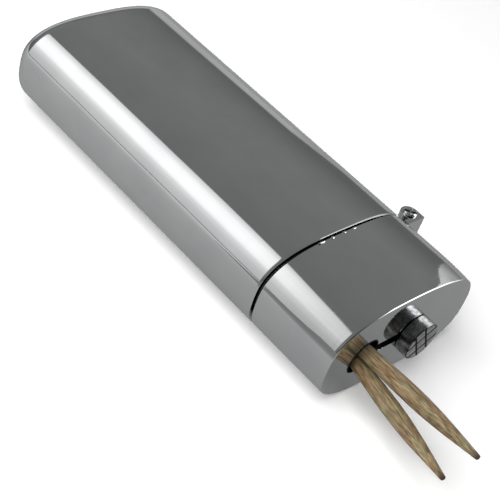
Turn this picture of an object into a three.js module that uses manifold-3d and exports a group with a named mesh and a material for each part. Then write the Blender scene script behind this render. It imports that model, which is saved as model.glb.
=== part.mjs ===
// A pocket toothpick dispenser: a long flat-oval case, a short hinged head that closes it,
// and a slide knob in the head's flat end that shuts the outlet the toothpicks come out of.
// Millimetres, +Z up. The case lies on its broad side and the dispensing end faces -Y.
// The origin is the middle of the underside.
import * as THREE from "three";
import { mergeVertices } from "three/addons/utils/BufferGeometryUtils.js";
import Module from "manifold-3d";

const wasm = await Module();
wasm.setup();

// Case and head. Both have one section, a flattened oval with a flat land above and below.
const caseWidth = 30;
const caseThickness = 15.2;
const caseLength = 73.5;
const headLength = 14.55;
const shellWall = 0.8;
const ovalPowerShare = 2.78;
const landCrown = 0.12;
const farEdgeRadius = 3.4;
const faceEdgeRadius = 0.8;
const seamGap = 0.35;
const rimBevel = 0.15;

// Collar: fixed in the case, it stands into the head and lines the mouth.
const collarWall = 0.6;
const collarGap = 0.3;
const collarReach = 4.2;
const collarDepth = 8;
const collarEase = 0.25;
const collarBevel = 0.3;

// Hinge, on the right narrow side, just behind the seam.
const hingeStandoff = 1.8;
const hingeBehindSeam = 0.65;
const knuckleRadius = 1.5;
const knuckleCorner = 0.3;
const middleKnuckleHeight = 2.8;
const outerKnuckleHeight = 2.3;
const knuckleGap = 0.2;
const pinRadius = 0.5;
const pinClearance = 0.3;
const pinHeadRadius = 0.95;
const pinHeadHeight = 0.35;
const pinHeadGap = 0.15;

// Outlet and slot, cut through the head's end wall as one keyhole.
const outletRadius = 2.85;
const outletFromMiddle = 7.6;
const outletDrop = 0.35;
const slotWidth = 1.6;
const slotDrop = 0.1;
const slotRunOut = 0.5;

// Knob, its riveted stem, and the plate and bowed spring that it traps behind the end wall.
const knobFromMiddle = 2.2;
const knobRadius = 3.4;
const knobThickness = 2.15;
const knobChamfer = 0.25;
const knobGap = 0.25;
const gripPitch = 1.95;
const gripWidth = 0.34;
const gripDepth = 0.3;
const gripTurnDegrees = 30;
const stemWidth = 1.4;
const stemThickness = 1;
const stemClearance = 0.3;
const rivetRadius = 1.35;
const rivetHeight = 0.5;
const washerRadius = 2;
const washerThickness = 0.3;
const plateWidth = 6.4;
const plateHeight = 7.2;
const plateThickness = 0.6;
const plateCorner = 1;
const springThickness = 0.25;
const springBow = 0.5;
const springHeight = 3.4;
const stackGap = 0.2;

// Toothpicks. Two stand in the outlet, and the rest lie in the case.
const pickLength = 65;
const pickRadius = 1.1;
const pickTaper = 13;
const pickTipRadius = 0.3;
const pickGap = 0.35;
const storedFromFace = 4.6;
const storedFromWall = 0.28;
const storedRows = [3, 3, 2, 1];
const tailFromStored = 0.51;
const rightPick = { across: 0.5, up: 1.21, out: 20.63, leftLean: 2.58, upLean: 1.83 };
const leftPick = { across: -0.35, up: -1.3, out: 20.13, upLean: 1.89 };

// Facets, and how far a cutting solid runs past what it cuts.
const ovalSides = 72;
const roundSides = 28;
const pickSides = 12;
const edgeSteps = 4;
const overrun = 1;

const halfWidth = caseWidth / 2;
const halfThickness = caseThickness / 2;
const headRim = headLength - seamGap / 2;
const caseRim = headLength + seamGap / 2;
const collarOuterInset = shellWall + collarGap;
const collarInnerInset = collarOuterInset + collarWall;
const pivotX = halfWidth + hingeStandoff;
const pivotY = headLength + hingeBehindSeam;
const knuckleArm = hingeBehindSeam + seamGap / 2;

const polished = (color, roughness) => new THREE.MeshStandardMaterial({ color, roughness, metalness: 1 });
const mirrorSteel = polished(0xb9bbbd, 0.08);
const collarSteel = polished(0x8c8f92, 0.25);
const knobSteel = polished(0xaeb0b2, 0.18);
const springSteel = polished(0x9a9c9e, 0.35);
const birchWood = new THREE.MeshStandardMaterial({ color: 0xb08d62, roughness: 0.75, metalness: 0 });

// Solids that can be joined and cut

function solidOf(geometry) {
  const bare = geometry.clone();
  bare.deleteAttribute("normal");
  bare.deleteAttribute("uv");
  const merged = mergeVertices(bare);
  return new wasm.Manifold(
    new wasm.Mesh({
      numProp: 3,
      vertProperties: merged.attributes.position.array,
      triVerts: new Uint32Array(merged.index.array),
    }),
  );
}

function geometryOf(solid) {
  const mesh = solid.getMesh();
  const geometry = new THREE.BufferGeometry();
  geometry.setAttribute("position", new THREE.BufferAttribute(mesh.vertProperties, 3));
  geometry.setIndex(new THREE.BufferAttribute(mesh.triVerts, 1));
  geometry.computeVertexNormals();
  return geometry;
}

function namedMesh(name, geometry, material) {
  const mesh = new THREE.Mesh(geometry, material);
  mesh.name = name;
  return mesh;
}

// The oval section

// One ring of the section at y, drawn in by inset all round. ease draws in only its left side.
function ovalRing(y, inset, ease = 0) {
  const across = halfWidth - inset - ease / 2;
  const up = halfThickness - inset;
  const power = 2 / ovalPowerShare;
  return Array.from({ length: ovalSides }, (_, i) => {
    const turn = (i / ovalSides) * 2 * Math.PI;
    const c = Math.cos(turn);
    const s = Math.sin(turn);
    const x = Math.sign(c) * Math.abs(c) ** power * across;
    const z = Math.sign(s) * Math.abs(s) ** power * (up + landCrown);
    return new THREE.Vector3(x + ease / 2, y, THREE.MathUtils.clamp(z, -up, up));
  });
}

// Joins rings in order of rising y into a closed solid with flat ends.
function ovalSolid(rings) {
  const ends = [rings[0], rings[rings.length - 1]].map((ring) =>
    ring.reduce((sum, p) => sum.add(p), new THREE.Vector3()).divideScalar(ring.length),
  );
  const points = [...rings.flat(), ...ends];
  const first = points.length - 2;
  const index = [];
  for (let side = 0; side < ovalSides; side++) {
    const next = (side + 1) % ovalSides;
    for (let ring = 0; ring + 1 < rings.length; ring++) {
      const [a, b] = [ring * ovalSides + side, ring * ovalSides + next];
      index.push(a, a + ovalSides, b, b, a + ovalSides, b + ovalSides);
    }
    const top = (rings.length - 1) * ovalSides;
    index.push(first, side, next, first + 1, top + next, top + side);
  }
  const geometry = new THREE.BufferGeometry().setFromPoints(points);
  geometry.setIndex(index);
  return solidOf(geometry);
}

// Rings round an edge of the given radius, from the end face to the side. toward is the way to the side.
function edgeRings(endY, radius, inset, toward) {
  return Array.from({ length: edgeSteps + 1 }, (_, i) => {
    const turn = (i / edgeSteps) * (Math.PI / 2);
    return ovalRing(endY + toward * radius * (1 - Math.cos(turn)), inset + radius * (1 - Math.sin(turn)));
  });
}

// Hinge

// A knuckle's outline about the pin. way is -1 for the head and 1 for the case: the arm runs to that
// part's wall, and the outer corner on that side is square when squared is set.
function knuckleShape(way, squared) {
  const armEnd = -(hingeStandoff + shellWall + halfThickness / 2);
  const armFoot = Math.asin(knuckleArm / knuckleRadius);
  const shape = new THREE.Shape();
  shape.moveTo(armEnd, knuckleRadius);
  if (squared) {
    shape.lineTo(knuckleRadius - knuckleCorner, knuckleRadius);
    shape.quadraticCurveTo(knuckleRadius, knuckleRadius, knuckleRadius, knuckleRadius - knuckleCorner);
    shape.lineTo(knuckleRadius, 0);
  } else {
    shape.absarc(0, 0, knuckleRadius, Math.PI / 2, 0, true);
  }
  shape.absarc(0, 0, knuckleRadius, 0, armFoot - Math.PI, true);
  shape.absarc(0, 0, knuckleRadius, armFoot - Math.PI, Math.PI - armFoot, true);
  shape.lineTo(armEnd, knuckleArm);
  if (way > 0) return shape;
  return new THREE.Shape(shape.getPoints(roundSides / 4).map((p) => new THREE.Vector2(p.x, -p.y)));
}

function knuckle(way, squared, bottom, height) {
  const geometry = new THREE.ExtrudeGeometry(knuckleShape(way, squared), {
    depth: height,
    bevelEnabled: false,
    curveSegments: roundSides / 4,
  });
  return solidOf(geometry.translate(pivotX, pivotY, bottom));
}

function pinHole(radius) {
  const tall = caseThickness + 2 * overrun;
  return solidOf(
    new THREE.CylinderGeometry(radius, radius, tall, roundSides).rotateX(Math.PI / 2).translate(pivotX, pivotY, 0),
  );
}

const outerKnuckleBottom = middleKnuckleHeight / 2 + knuckleGap;
const outerKnuckleTop = outerKnuckleBottom + outerKnuckleHeight;

function hingePin() {
  const headBottom = outerKnuckleTop + pinHeadGap;
  const profile = [
    [0, -headBottom - pinHeadHeight],
    [pinHeadRadius / 2, -headBottom - pinHeadHeight],
    [pinHeadRadius, -headBottom - pinHeadHeight / 3],
    [pinHeadRadius, -headBottom],
    [pinRadius, -headBottom],
    [pinRadius, headBottom],
    [pinHeadRadius, headBottom],
    [pinHeadRadius, headBottom + pinHeadHeight / 3],
    [pinHeadRadius / 2, headBottom + pinHeadHeight],
    [0, headBottom + pinHeadHeight],
  ].map(([radius, along]) => new THREE.Vector2(radius, along));
  return new THREE.LatheGeometry(profile, roundSides).rotateX(Math.PI / 2);
}

// Case and head

function caseShell() {
  const outer = ovalSolid([
    ovalRing(caseRim, rimBevel),
    ovalRing(caseRim + rimBevel, 0),
    ...edgeRings(caseLength, farEdgeRadius, 0, -1).reverse(),
  ]);
  const inner = ovalSolid([
    ovalRing(caseRim - overrun, shellWall),
    ...edgeRings(caseLength - shellWall, farEdgeRadius - shellWall, shellWall, -1).reverse(),
  ]);
  const middle = knuckle(1, false, -middleKnuckleHeight / 2, middleKnuckleHeight);
  return geometryOf(outer.add(middle).subtract(inner).subtract(pinHole(pinRadius + pinClearance)));
}

function collar() {
  const front = headLength - collarReach;
  const back = headLength + collarDepth;
  const outer = ovalSolid([
    ovalRing(front, collarOuterInset + collarBevel, collarEase),
    ovalRing(front + collarBevel, collarOuterInset, collarEase),
    ovalRing(back, collarOuterInset, collarEase),
  ]);
  const inner = ovalSolid([
    ovalRing(front - overrun, collarInnerInset, collarEase),
    ovalRing(back + overrun, collarInnerInset, collarEase),
  ]);
  return geometryOf(outer.subtract(inner));
}

// A cut through the end wall: the round outlet and the slot that leads out of it.
function keyhole() {
  const slotEnd = knobFromMiddle + stemWidth / 2 + slotRunOut;
  const deep = shellWall + 2 * overrun;
  const outline = new THREE.Shape();
  outline.moveTo(-outletFromMiddle, slotWidth / 2);
  outline.lineTo(slotEnd - slotWidth / 2, slotWidth / 2);
  outline.absarc(slotEnd - slotWidth / 2, 0, slotWidth / 2, Math.PI / 2, -Math.PI / 2, true);
  outline.lineTo(-outletFromMiddle, -slotWidth / 2);
  const slot = new THREE.ExtrudeGeometry(outline, {
    depth: deep,
    bevelEnabled: false,
    curveSegments: roundSides / 4,
  });
  slot.rotateX(Math.PI / 2).translate(0, deep - overrun, -slotDrop);
  const outlet = new THREE.CylinderGeometry(outletRadius, outletRadius, deep, roundSides);
  outlet.translate(-outletFromMiddle, deep / 2 - overrun, -outletDrop);
  return solidOf(slot).add(solidOf(outlet));
}

function headShell() {
  const outer = ovalSolid([
    ...edgeRings(0, faceEdgeRadius, 0, 1),
    ovalRing(headRim - rimBevel, 0),
    ovalRing(headRim, rimBevel),
  ]);
  const inner = ovalSolid([
    ovalRing(shellWall, shellWall + rimBevel),
    ovalRing(shellWall + rimBevel, shellWall),
    ovalRing(headRim + overrun, shellWall),
  ]);
  const upper = knuckle(-1, true, outerKnuckleBottom, outerKnuckleHeight);
  const lower = knuckle(-1, true, -outerKnuckleTop, outerKnuckleHeight);
  return geometryOf(
    outer.add(upper).add(lower).subtract(inner).subtract(keyhole()).subtract(pinHole(pinRadius + pinClearance)),
  );
}

// Knob, plate and spring, each about the stem's axis with y = 0 on the head's face

const springFront = shellWall + stackGap;
const springDeep = springThickness + springBow;
const plateFront = springFront + springDeep + stackGap;
const washerFront = plateFront + plateThickness + stackGap;
const rivetFront = washerFront + washerThickness + stackGap;

function slideKnob() {
  const front = -knobGap - knobThickness;
  const cap = [
    [0, front],
    [knobRadius - knobChamfer, front],
    [knobRadius, front + knobChamfer],
    [knobRadius, -knobGap - knobChamfer / 2],
    [knobRadius - knobChamfer / 2, -knobGap],
    [0, -knobGap],
  ].map(([radius, along]) => new THREE.Vector2(radius, along));
  const rivet = [
    [0, rivetFront],
    [rivetRadius, rivetFront],
    [rivetRadius * 0.6, rivetFront + rivetHeight],
    [0, rivetFront + rivetHeight],
  ].map(([radius, along]) => new THREE.Vector2(radius, along));
  const stemBack = rivetFront + rivetHeight / 2;
  const stemFront = -knobGap - knobThickness / 2;
  const stem = new THREE.BoxGeometry(stemWidth, stemBack - stemFront, stemThickness);
  stem.translate(0, (stemBack + stemFront) / 2, 0);
  let knob = solidOf(new THREE.LatheGeometry(cap, roundSides * 2))
    .add(solidOf(stem))
    .add(solidOf(new THREE.LatheGeometry(rivet, roundSides)));
  for (const quarter of [0, 1]) {
    for (const side of [-1, 1]) {
      const groove = new THREE.BoxGeometry(gripWidth, 2 * gripDepth, 2 * (knobRadius + overrun));
      groove.translate((side * gripPitch) / 2, front, 0);
      groove.rotateY(-THREE.MathUtils.degToRad(gripTurnDegrees + 90 * quarter));
      knob = knob.subtract(solidOf(groove));
    }
  }
  return geometryOf(knob);
}

function stemHole() {
  const deep = rivetFront + overrun;
  const hole = new THREE.BoxGeometry(stemWidth + 2 * stemClearance, 2 * deep, stemThickness + 2 * stemClearance);
  return solidOf(hole);
}

function roundedRectangle(width, height, corner) {
  const [x, y] = [width / 2 - corner, height / 2 - corner];
  const shape = new THREE.Shape();
  shape.absarc(x, y, corner, 0, Math.PI / 2);
  shape.absarc(-x, y, corner, Math.PI / 2, Math.PI);
  shape.absarc(-x, -y, corner, Math.PI, 1.5 * Math.PI);
  shape.absarc(x, -y, corner, 1.5 * Math.PI, 2 * Math.PI);
  return shape;
}

function retainingPlate() {
  const plate = new THREE.ExtrudeGeometry(roundedRectangle(plateWidth, plateHeight, plateCorner), {
    depth: plateThickness,
    bevelEnabled: false,
    curveSegments: roundSides / 7,
  });
  plate.rotateX(Math.PI / 2).translate(0, plateFront + plateThickness, 0);
  return geometryOf(solidOf(plate).subtract(stemHole()));
}

function stemWasher() {
  const bore = Math.hypot(stemWidth, stemThickness) / 2 + stemClearance / 2;
  const profile = [
    [bore, washerFront],
    [washerRadius, washerFront],
    [washerRadius, washerFront + washerThickness],
    [bore, washerFront + washerThickness],
    [bore, washerFront],
  ].map(([radius, along]) => new THREE.Vector2(radius, along));
  return new THREE.LatheGeometry(profile, roundSides);
}

// A strip bowed towards the plate, with its two ends resting on the end wall.
function bowedSpring() {
  const half = plateWidth / 2 - plateCorner / 2;
  const steps = edgeSteps * 2;
  const along = Array.from({ length: steps + 1 }, (_, i) => -half + (2 * half * i) / steps);
  const bow = (x) => springFront + springBow * (1 - (x / half) ** 2);
  const outline = new THREE.Shape([
    ...along.map((x) => new THREE.Vector2(x, bow(x))),
    ...along.reverse().map((x) => new THREE.Vector2(x, bow(x) + springThickness)),
  ]);
  const strip = new THREE.ExtrudeGeometry(outline, { depth: springHeight, bevelEnabled: false });
  strip.translate(0, 0, -springHeight / 2);
  return geometryOf(solidOf(strip).subtract(stemHole()));
}

// Toothpicks

// A round birch pick, pointed at both ends, with its middle at the origin and its length along Y.
function pickGeometry() {
  const taper = [
    [0, 0],
    [pickTipRadius * 0.7, 0],
    [pickTipRadius, pickTipRadius / 2],
    [pickRadius * 0.62, pickTaper * 0.36],
    [pickRadius * 0.9, pickTaper * 0.74],
    [pickRadius, pickTaper],
  ];
  const profile = [
    ...taper.map(([radius, along]) => new THREE.Vector2(radius, along - pickLength / 2)),
    ...taper.reverse().map(([radius, along]) => new THREE.Vector2(radius, pickLength / 2 - along)),
  ];
  return new THREE.LatheGeometry(profile, pickSides);
}

// The slope to the left, on the way out, of a pick whose tail lies at x = tail.
function slopeToTail(tail, { across, out, upLean }) {
  const aside = tail - (across - outletFromMiddle);
  const inside = pickLength - out;
  return aside / Math.cos(THREE.MathUtils.degToRad(upLean)) / Math.sqrt(inside ** 2 - aside ** 2);
}

// A pick that stands in the outlet. It crosses the head's face across and up from the outlet's centre,
// with its tip out of the face, sloping to the left and leaning upwards on its way out.
function outletPick(name, { across, up, out, upLean }, leftSlope) {
  const outward = new THREE.Vector3(-leftSlope, -1, Math.tan(THREE.MathUtils.degToRad(upLean))).normalize();
  const pick = namedMesh(name, pickGeometry(), birchWood);
  pick.position.set(across - outletFromMiddle, 0, up - outletDrop);
  pick.position.addScaledVector(outward, out - pickLength / 2);
  pick.quaternion.setFromUnitVectors(new THREE.Vector3(0, -1, 0), outward);
  return pick;
}

// The pile of stored picks lies against the hinge side. Each row is half a pick nearer to that side than
// the row below it, and the row that reaches furthest is the one that nearly touches the wall.
const storedPitch = 2 * pickRadius + pickGap;
const storedReach = halfWidth - collarInnerInset - pickRadius - pickGap;
const storedSteps = Math.max(...storedRows.map((count, row) => count - 1 + row / 2));
const storedFirst = storedReach - storedFromWall - storedSteps * storedPitch;

// Places for the stored picks: each is let down at its x until it rests on the collar or on others.
// One that finds no room under the ceiling is left out.
function storedPlaces() {
  const floorDown = halfThickness - collarInnerInset - pickRadius - pickGap;
  const places = [];
  storedRows.forEach((count, row) => {
    for (let i = 0; i < count; i++) {
      const x = storedFirst + (i + row / 2) * storedPitch;
      const floor = -floorDown * (1 - (x / storedReach) ** ovalPowerShare) ** (1 / ovalPowerShare);
      const rests = places
        .filter((other) => Math.abs(other.x - x) < storedPitch)
        .map((other) => other.z + Math.sqrt(storedPitch ** 2 - (other.x - x) ** 2));
      const z = Math.max(floor, ...rests);
      if (z < pickGap / 2 - floor) places.push({ x, z });
    }
  });
  return places;
}

// Assembly

const dispenser = new THREE.Group();
dispenser.position.set(0, -caseLength / 2, halfThickness);

const body = new THREE.Group();
body.add(namedMesh("case_shell", caseShell(), mirrorSteel));
body.add(namedMesh("neck_collar", collar(), collarSteel));
const pin = namedMesh("hinge_pin", hingePin(), knobSteel);
pin.position.set(pivotX, pivotY, 0);
body.add(pin);
storedPlaces().forEach(({ x, z }, i) => {
  const pick = namedMesh(`toothpick_stored_${i + 1}`, pickGeometry(), birchWood);
  pick.position.set(x, storedFromFace + pickLength / 2, z);
  body.add(pick);
});

const head = new THREE.Group();
head.add(namedMesh("head_shell", headShell(), mirrorSteel));
const rightSlope = Math.tan(THREE.MathUtils.degToRad(rightPick.leftLean));
const leftTail = storedFirst - storedPitch - tailFromStored;
head.add(outletPick("toothpick_right", rightPick, rightSlope));
head.add(outletPick("toothpick_left", leftPick, slopeToTail(leftTail, leftPick)));

const slide = new THREE.Group();
slide.position.set(knobFromMiddle, 0, -slotDrop);
slide.add(namedMesh("slide_knob", slideKnob(), knobSteel));
slide.add(namedMesh("retaining_plate", retainingPlate(), springSteel));
slide.add(namedMesh("bowed_spring", bowedSpring(), springSteel));
slide.add(namedMesh("stem_washer", stemWasher(), springSteel));
head.add(slide);

dispenser.add(body, head);

export default dispenser;
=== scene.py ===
# A pocket toothpick dispenser of mirror-polished steel, dressed for its picture.
# Lengths are in millimetres, as in the part's source: X across, Y from the head's end face towards the
# far end, Z up from the middle of the thickness. Where something stands is turned to metres by at().
import math
import bpy
from mathutils import Matrix, Vector


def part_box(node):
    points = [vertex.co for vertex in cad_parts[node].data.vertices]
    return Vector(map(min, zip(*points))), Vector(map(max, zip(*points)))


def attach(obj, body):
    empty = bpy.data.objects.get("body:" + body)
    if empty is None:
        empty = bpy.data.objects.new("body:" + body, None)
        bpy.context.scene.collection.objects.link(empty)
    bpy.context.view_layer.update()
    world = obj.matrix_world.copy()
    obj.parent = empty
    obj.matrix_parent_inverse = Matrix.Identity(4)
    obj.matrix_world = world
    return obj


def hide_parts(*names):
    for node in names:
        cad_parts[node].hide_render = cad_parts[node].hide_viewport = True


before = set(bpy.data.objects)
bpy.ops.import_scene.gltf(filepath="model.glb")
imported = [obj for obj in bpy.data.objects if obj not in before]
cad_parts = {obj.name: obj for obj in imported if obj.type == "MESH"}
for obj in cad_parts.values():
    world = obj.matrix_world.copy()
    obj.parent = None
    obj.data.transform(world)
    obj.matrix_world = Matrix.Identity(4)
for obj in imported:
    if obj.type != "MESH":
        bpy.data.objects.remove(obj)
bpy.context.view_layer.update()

MM = 0.001
CASE_WIDTH, CASE_THICKNESS, CASE_LENGTH = 30, 15.2, 73.5
HALF_WIDTH, HALF_THICKNESS = CASE_WIDTH / 2, CASE_THICKNESS / 2
HEAD_RIM, CASE_RIM = 14.525, 14.725
SHELL_WALL = 0.8
# Radii of the rounded edges: at the far end, at the end face and at the seam.
FAR_EDGE, FACE_EDGE, RIM_EDGE = 3.4, 0.21, 0.12
OVAL_POWER = 2.86
OVAL_STEPS = 64
PIVOT = (16.8, 15.2)
KNOB_X, KNOB_Z = 2.2, -0.1
# The outlet's longer and shorter half, and how far the longer one leans from upright, in degrees.
OUTLET_X, OUTLET_Z, OUTLET_RADIUS = -7.6, -0.35, 2.85
OUTLET_NARROW, OUTLET_LEAN = 2.2, -39
LIP_RADIUS, LIP_FLATNESS = 0.16, 0.5
SLOT_END, HALF_SLOT = 3.4, 0.8
FILED_EDGE = 0.12
WELD, FINE_WELD = 0.002, 0.0005


def at(x, y, z):
    return Vector((x * MM, (y - CASE_LENGTH / 2) * MM, (z + HALF_THICKNESS) * MM))


# Modelling by hand: one piece is open in edit mode at a time, and a tool works on what is selected.


def open_piece(name):
    bpy.context.object.name = bpy.context.object.data.name = name
    bpy.ops.object.transform_apply(location=True, rotation=True, scale=True)
    bpy.ops.object.mode_set(mode="EDIT")
    bpy.ops.mesh.select_all(action="SELECT")
    return bpy.context.object


def reopen(piece):
    only(piece)
    bpy.ops.object.mode_set(mode="EDIT")


def close_piece():
    bpy.ops.mesh.select_all(action="DESELECT")
    bpy.ops.object.mode_set(mode="OBJECT")


def only(*pieces):
    bpy.ops.object.select_all(action="DESELECT")
    for piece in pieces:
        piece.select_set(True)
    bpy.context.view_layer.objects.active = pieces[0]


def pick_vertices(piece, wanted):
    """Selects the vertices whose place in millimetres passes the test, with the piece open."""
    bpy.ops.mesh.select_all(action="DESELECT")
    bpy.ops.mesh.select_mode(type="VERT")
    bpy.ops.object.mode_set(mode="OBJECT")
    for vertex in piece.data.vertices:
        x, y, z = vertex.co / MM
        vertex.select = wanted(x, y + CASE_LENGTH / 2, z - HALF_THICKNESS)
    bpy.ops.object.mode_set(mode="EDIT")


def oval_outline(name, y, inset):
    """The flattened oval, as a flat sheet at y: a rectangle whose corners are bevelled to the middle of
    each side, with the bevel's profile set to the oval's power."""
    bpy.ops.object.select_all(action="DESELECT")
    bpy.ops.mesh.primitive_plane_add(size=MM, location=at(0, y, 0), rotation=(math.pi / 2, 0, 0))
    bpy.context.object.scale = (2 * (HALF_WIDTH - inset), 2 * (HALF_THICKNESS - inset), 1)
    piece = open_piece(name)
    profile = 2 ** (-2 / OVAL_POWER)
    bpy.ops.mesh.bevel(
        affect="VERTICES", offset_type="PERCENT", offset_pct=50, segments=OVAL_STEPS, profile=profile
    )
    bpy.ops.mesh.remove_doubles(threshold=WELD * MM)
    return piece


def round_outline(name, x, y, z, radius, sides):
    bpy.ops.object.select_all(action="DESELECT")
    bpy.ops.mesh.primitive_circle_add(
        vertices=sides,
        radius=radius * MM,
        fill_type="NGON",
        location=at(x, y, z),
        rotation=(math.pi / 2, 0, 0),
    )
    return open_piece(name)


def pull(rings, x=0, z=0):
    """Extrudes the open piece's selected outline through rings of (y, half width, half height)."""
    for (y, wide, high), (next_y, next_wide, next_high) in zip(rings, rings[1:]):
        bpy.ops.mesh.extrude_region_move(TRANSFORM_OT_translate={"value": (0, (next_y - y) * MM, 0)})
        size = (next_wide / wide, 1, next_high / high)
        bpy.ops.transform.resize(value=size, center_override=at(x, next_y, z))


def oval_ring(y, inset):
    return y, HALF_WIDTH - inset, HALF_THICKNESS - inset


def edge_rings(end_y, radius, inset, toward, steps):
    """Rings round an edge, from the end face to the side. toward is the way to the side."""
    turns = [math.pi / 2 * step / steps for step in range(steps + 1)]
    return [
        oval_ring(end_y + toward * radius * (1 - math.cos(turn)), inset + radius * (1 - math.sin(turn)))
        for turn in turns
    ]


def face_outwards():
    bpy.ops.mesh.select_all(action="SELECT")
    bpy.ops.mesh.remove_doubles(threshold=FINE_WELD * MM)
    bpy.ops.mesh.normals_make_consistent(inside=False)


def ease_sharp_edges(width, segments=2, sharpness=50):
    """A small bevel on every sharp edge of the open piece, as a file or a buffing wheel leaves it."""
    bpy.ops.mesh.select_mode(type="EDGE")
    bpy.ops.mesh.select_all(action="DESELECT")
    bpy.ops.mesh.edges_select_sharp(sharpness=math.radians(sharpness))
    bpy.ops.mesh.bevel(affect="EDGES", offset=width * MM, segments=segments, clamp_overlap=True)
    bpy.ops.mesh.select_mode(type="VERT")


def smooth_metal(piece, angle=38):
    """Smooth shading that keeps flat faces flat, so that they mirror without a bend."""
    only(piece)
    bpy.ops.object.shade_smooth_by_angle(angle=math.radians(angle))
    weighting = piece.modifiers.new("even_normals", "WEIGHTED_NORMAL")
    weighting.keep_sharp = True
    weighting.weight = 80
    bpy.ops.object.modifier_apply(modifier=weighting.name)


def carry(piece, *moves):
    """Carries a closed piece's mesh by one move after the other."""
    for move in moves:
        piece.data.transform(move)


def turn_about(axis, degrees):
    return Matrix.Rotation(math.radians(degrees), 4, axis)


def work_in(piece, tool, operation):
    """Joins a second closed piece to the first, or cuts it away, and puts the second away."""
    only(piece)
    joint = piece.modifiers.new(operation.lower(), "BOOLEAN")
    joint.operation, joint.solver, joint.object = operation, "EXACT", tool
    bpy.ops.object.modifier_apply(modifier=joint.name)
    bpy.data.objects.remove(tool)


def block(name, low, high):
    """A rectangular block between two corners, in millimetres."""
    middle = [(a + b) / 2 for a, b in zip(low, high)]
    bpy.ops.object.select_all(action="DESELECT")
    bpy.ops.mesh.primitive_cube_add(size=MM, location=at(*middle))
    bpy.context.object.scale = [b - a for a, b in zip(low, high)]
    open_piece(name)
    close_piece()
    return bpy.context.object


def upright_rod(name, x, y, bottom, top, radius, sides=48):
    bpy.ops.object.select_all(action="DESELECT")
    bpy.ops.mesh.primitive_cylinder_add(
        vertices=sides,
        radius=radius * MM,
        depth=(top - bottom) * MM,
        location=at(x, y, (bottom + top) / 2),
    )
    open_piece(name)
    close_piece()
    return bpy.context.object


def burr(name, place, size):
    """A small raised burr, half sunk in what carries it."""
    bpy.ops.object.select_all(action="DESELECT")
    bpy.ops.mesh.primitive_ico_sphere_add(subdivisions=3, radius=MM, location=at(*place))
    bpy.context.object.scale = size
    open_piece(name)
    close_piece()
    bpy.ops.object.shade_smooth()
    return bpy.context.object


# Finishes


def srgb(code):
    """A hex colour as linear light."""
    parts = [int(code[i : i + 2], 16) / 255 for i in (1, 3, 5)]
    return [p / 12.92 if p <= 0.04045 else ((p + 0.055) / 1.055) ** 2.4 for p in parts] + [1]


def grey(value):
    return (value, value, value, 1)


def add(tree, kind, inputs, stops=(), **settings):
    """Adds a node. inputs gives each socket its value or the output that it is linked from."""
    node = tree.nodes.new("ShaderNode" + kind)
    for name, value in settings.items():
        setattr(node, name, value)
    for socket, value in inputs.items():
        if isinstance(value, bpy.types.NodeSocket):
            tree.links.new(value, node.inputs[socket])
        else:
            node.inputs[socket].default_value = value
    if stops:
        ramp = node.color_ramp
        while len(ramp.elements) < len(stops):
            ramp.elements.new(0.5)
        for element, (position, colour) in zip(ramp.elements, stops):
            element.position, element.color = position, colour
    return node


def product(tree, first, second):
    return add(tree, "Math", {0: first, 1: second}, operation="MULTIPLY").outputs["Value"]


def new_finish(name):
    material = bpy.data.materials.new(name)
    material.use_nodes = True
    return material, material.node_tree, material.node_tree.nodes["Principled BSDF"]


def stretched(tree, x, y, z):
    """Object coordinates in which one unit is x, y and z millimetres."""
    place = add(tree, "TexCoord", {}).outputs["Object"]
    scale = [1 / (length * MM) for length in (x, y, z)]
    return add(tree, "Mapping", {"Vector": place, "Scale": scale}).outputs["Vector"]


def scratch(tree, height, depth, relief):
    """Marks of a depth in millimetres, on top of a coarser relief."""
    inputs = {"Height": height, "Strength": 1, "Distance": depth * MM, "Normal": relief.outputs["Normal"]}
    return add(tree, "Bump", inputs)


def mirror_polished_steel():
    # Stainless steel sheet, pressed and buffed to a mirror: sharp reflections, faint buffing
    # hairlines along the case, fainter ones across it, and a slow waviness of the sheet. Real hairlines
    # are some 0.02 mm apart. They are drawn 0.3 mm apart, as coarse as they need to be to show.
    material, tree, finish = new_finish("mirror_polished_steel")
    along = add(tree, "TexNoise", {"Vector": stretched(tree, 0.3, 14, 0.3), "Scale": 1, "Detail": 3})
    across = add(tree, "TexNoise", {"Vector": stretched(tree, 9, 0.35, 9), "Scale": 1, "Detail": 3})
    wave = add(tree, "TexNoise", {"Vector": stretched(tree, 9, 14, 9), "Scale": 1, "Detail": 1})
    cloud = add(tree, "TexNoise", {"Vector": stretched(tree, 5, 7, 5), "Scale": 1, "Detail": 4})
    tone = add(
        tree,
        "ValToRGB",
        {"Fac": cloud.outputs["Fac"]},
        stops=[(0.3, srgb("#D3D5D6")), (0.7, srgb("#DBDCDC"))],
    )
    haze = {"From Min": 0.35, "From Max": 0.7, "To Min": 0.035, "To Max": 0.075}
    rough = add(tree, "MapRange", {"Value": across.outputs["Fac"], **haze})
    slow = add(tree, "Bump", {"Height": wave.outputs["Fac"], "Strength": 1, "Distance": 0.03 * MM})
    lines = scratch(tree, along.outputs["Fac"], 0.0004, slow)
    cross = scratch(tree, across.outputs["Fac"], 0.0006, lines)
    finish.inputs["Metallic"].default_value = 1
    tree.links.new(tone.outputs["Color"], finish.inputs["Base Color"])
    tree.links.new(rough.outputs["Result"], finish.inputs["Roughness"])
    tree.links.new(cross.outputs["Normal"], finish.inputs["Normal"])
    return material


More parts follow.
